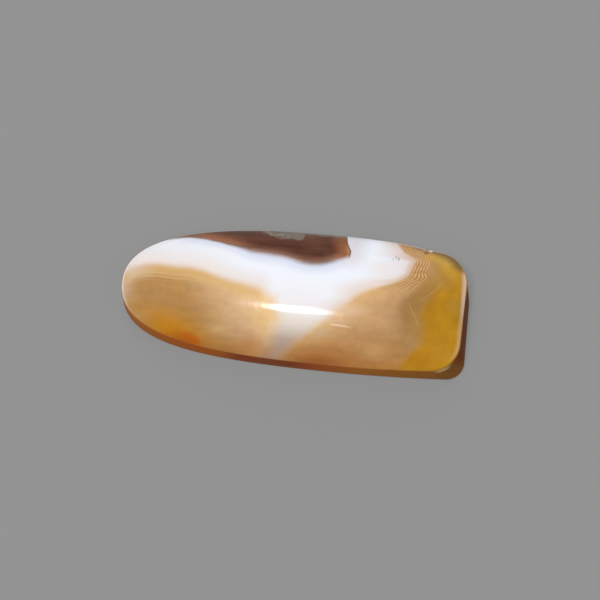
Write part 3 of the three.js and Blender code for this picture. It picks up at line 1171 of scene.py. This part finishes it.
ripple = noise(1, detail=2, vector=drawn_out(in_mm, -0.1, (0.6, 3, 1))).outputs[0]
right_room = area(1, (past_white, -0.9, -0.3, 1.5, 2.5))
left_room = area(1, (before_tail, 0.8, 1.4, 3, 4.5), (across, 0, -0.8))
right_sheets = both(fine_lines(past_white, RIGHT_SHEET_GAP), right_room)
left_sheets = both(fine_lines(before_tail, LEFT_SHEET_GAP), left_room)
height = calc("MULTIPLY_ADD", calc("MAXIMUM", right_sheets, left_sheets), SHEET_RELIEF, ripple)
relief = add_node("Bump", {"Strength": 1, "Distance": RELIEF_HEIGHT, "Height": height}).outputs[0]
print("the relief is", round(RELIEF_HEIGHT / MM, 4), "mm high")

# %% [markdown]
# The shader joins colour, smoothness and relief. Its IOR, the index of refraction, is that of quartz. A
# little light goes under the surface and comes out again nearby, as it does in every chalcedony, and takes
# the hardness off the bands.

# %% Finish the stone's surface
AGATE_IOR = 1.54
AGATE_GLOSS = 0.3
UNDER_SURFACE = 0.2
SPREAD = 0.0008
SPREAD_COLOUR = (1, 0.62, 0.35)

shader = add_node("BsdfPrincipled", {
    "Base Color": stone_colour, "Roughness": roughness, "Normal": relief,
    "IOR": AGATE_IOR, "Specular IOR Level": AGATE_GLOSS,
    "Subsurface Weight": UNDER_SURFACE, "Subsurface Scale": SPREAD, "Subsurface Radius": SPREAD_COLOUR,
})
add_node("OutputMaterial", {"Surface": shader.outputs[0]})
stone.data.materials.clear()
stone.data.materials.append(agate)
print("the finished material has", len(tree.nodes), "nodes")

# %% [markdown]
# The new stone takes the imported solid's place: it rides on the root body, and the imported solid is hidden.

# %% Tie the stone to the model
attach(stone, "root")
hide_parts(STONE_NODE)
print("the stone's box in mm:", [[round(side / MM, 3) for side in corner] for corner in box_of(stone)])

# %% [markdown]
# The stone lies on plain pale card that goes on far behind it, so no edge or horizon is mirrored in the dome.
# The card lets some light through from below, as a light table does, which keeps the stone's shadow faint.
# Most of its brightness comes from that glow, and its own colour is dark, so that it doesn't throw a second
# light on to the wall.

# %% Lay the floor
FLOOR_SIZE = 3
FLOOR_COLOUR = (0.09, 0.09, 0.09, 1)
FLOOR_ROUGHNESS = 0.9
FLOOR_GLOSS = 0.1
WHITE_LIGHT = (1, 1, 1, 1)
FLOOR_GLOW = 0.195

clear_selection()
bpy.ops.mesh.primitive_plane_add(size=FLOOR_SIZE)
floor = bpy.context.object
floor.name = "pale_card"
card = bpy.data.materials.new("pale_card")
card.use_nodes = True
tree = card.node_tree
tree.nodes.clear()
card_shader = add_node("BsdfPrincipled", {
    "Base Color": FLOOR_COLOUR, "Roughness": FLOOR_ROUGHNESS, "Specular IOR Level": FLOOR_GLOSS,
    "Emission Color": WHITE_LIGHT, "Emission Strength": FLOOR_GLOW,
})
add_node("OutputMaterial", {"Surface": card_shader.outputs[0]})
floor.data.materials.append(card)
print("the floor is", FLOOR_SIZE, "m across")

# %% [markdown]
# A glossy stone mirrors the whole studio, and a bright room would lay a grey veil over its dark bands. So the
# world is dim, and darker towards the horizon than overhead.

# %% Dim the studio
HORIZON_LIGHT = 0.14
ZENITH_LIGHT = 0.28

world = bpy.data.worlds.new("pale_studio")
bpy.context.scene.world = world
world.use_nodes = True
tree = world.node_tree
tree.nodes.clear()
_, _, way_up = add_node("SeparateXYZ", {0: add_node("TexCoord").outputs["Generated"]}).outputs
light = add_node("MapRange", {"Value": way_up, "To Min": HORIZON_LIGHT, "To Max": ZENITH_LIGHT}).outputs[0]
sky = add_node("Background", {"Color": WHITE_LIGHT, "Strength": light})
add_node("OutputWorld", {"Surface": sky.outputs[0]})
bpy.context.scene.view_settings.view_transform = "Standard"
print("the sky goes from", HORIZON_LIGHT, "to", ZENITH_LIGHT)

# %% [markdown]
# Large soft panels give most of the light: one overhead and three around, so that the steep sides get as much
# as the crest. They are kept out of the mirror image, which is what crossed polarizing filters do for a
# photographer. A smaller lamp makes the lens-shaped highlight along the crest. Its place follows from the
# mirror rule: at the highlight the surface's normal lies half way between the camera and the lamp. A longer,
# much dimmer one beside it gives the soft ends of the highlight.

# %% Light the stone
KEY_WAY = Vector((-0.226, -0.2035, 0.9495))
HALO_WAY = Vector((-0.226, -0.1925, 0.9495))
KEY_DISTANCE = 0.5
KEY_LENGTH, KEY_WIDTH, KEY_POWER = 0.066, 0.044, 0.5
HALO_LENGTH, HALO_WIDTH, HALO_POWER = 0.16, 0.05, 0.095
PANEL_DISTANCE = 1
PANEL_SIZE = 0.9
PANELS = {
    "top_panel": (Vector((-0.16, -0.05, 1)), 3.5),
    "far_panel": (Vector((-0.3, 1, 0.5)), 4.8),
    "right_panel": (Vector((1, -0.25, 0.45)), 2.4),
    "near_panel": (Vector((-0.5, -1, 0.5)), 1.8),
}


def soft_lamp(name, way, distance, length, width, power):
    """An oval lamp that looks at the stone, with its length laid along the stone's."""
    clear_selection()
    back = way.normalized()
    side = (Vector((1, 0, 0)) - back * back.x).normalized()
    turn = Matrix((side, back.cross(side), back)).transposed().to_euler()
    bpy.ops.object.light_add(type="AREA", location=back * distance, rotation=turn)
    lamp = bpy.context.object
    lamp.name = name
    lamp.data.shape = "ELLIPSE"
    lamp.data.size = length
    lamp.data.size_y = width
    lamp.data.energy = power
    return lamp


key = soft_lamp("key_lamp", KEY_WAY, KEY_DISTANCE, KEY_LENGTH, KEY_WIDTH, KEY_POWER)
soft_lamp("halo_lamp", HALO_WAY, KEY_DISTANCE, HALO_LENGTH, HALO_WIDTH, HALO_POWER)
for name, (way, power) in PANELS.items():
    panel = soft_lamp(name, way, PANEL_DISTANCE, PANEL_SIZE, PANEL_SIZE, power)
    panel.visible_glossy = False
print("the key lamp hangs at", [round(part, 3) for part in key.location])
